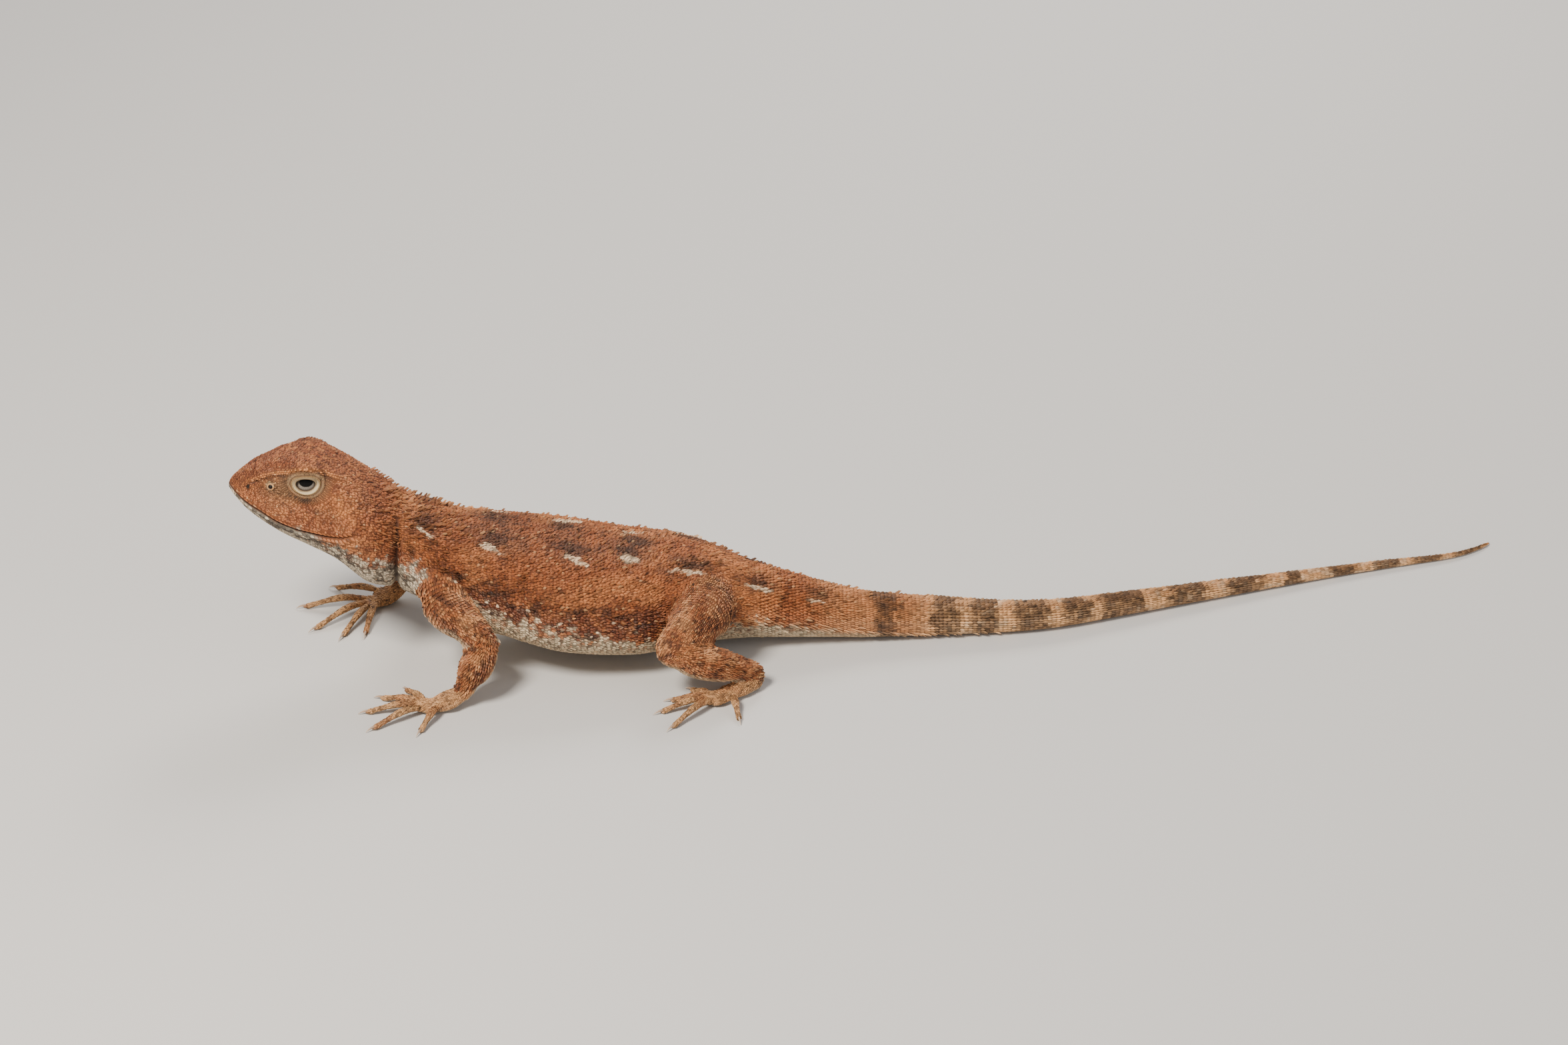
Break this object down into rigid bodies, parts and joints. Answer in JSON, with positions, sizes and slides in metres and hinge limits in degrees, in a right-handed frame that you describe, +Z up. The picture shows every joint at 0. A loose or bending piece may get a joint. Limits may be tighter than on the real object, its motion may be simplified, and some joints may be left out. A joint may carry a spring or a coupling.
{
  "type": "central earless dragon",
  "caption": "Life-size still model of a central earless dragon, a small spiny desert lizard, head raised and tail trailing.",
  "frame": {"origin": "centre of the animal's box in plan, at the floor that its soles, belly side of the tail and digits rest on", "axes": "+X towards the tail, -Y towards the animal's left side, +Z up"},
  "size_m": [0.1412, 0.037, 0.0251],
  "materials": {
    "back_skin": "matt rufous brown skin of small keeled scales, with dark blotches and cream marks along the back",
    "throat_skin": "matt whitish skin of small scales with dark flecks",
    "limb_skin": "matt orange brown keeled scales, paler on the digits",
    "tail_skin": "matt tan keeled scales with dark cross bands",
    "eye": "wet gloss over a pale iris and a dark pupil"
  },
  "bodies": {
    "root": {"head": "back_skin", "lower_jaw": "throat_skin", "eye_left": "eye", "eye_right": "eye", "neck": "back_skin", "torso": "back_skin", "tail_base": "tail_skin", "tail_middle": "tail_skin", "tail_end": "tail_skin", "tail_tip": "tail_skin", "left_upper_arm": "limb_skin", "left_forearm": "limb_skin", "left_hand": "limb_skin", "right_upper_arm": "limb_skin", "right_forearm": "limb_skin", "right_hand": "limb_skin", "left_thigh": "limb_skin", "left_shank": "limb_skin", "left_foot": "limb_skin", "right_thigh": "limb_skin", "right_shank": "limb_skin", "right_foot": "limb_skin"}
  },
  "joints": []
}
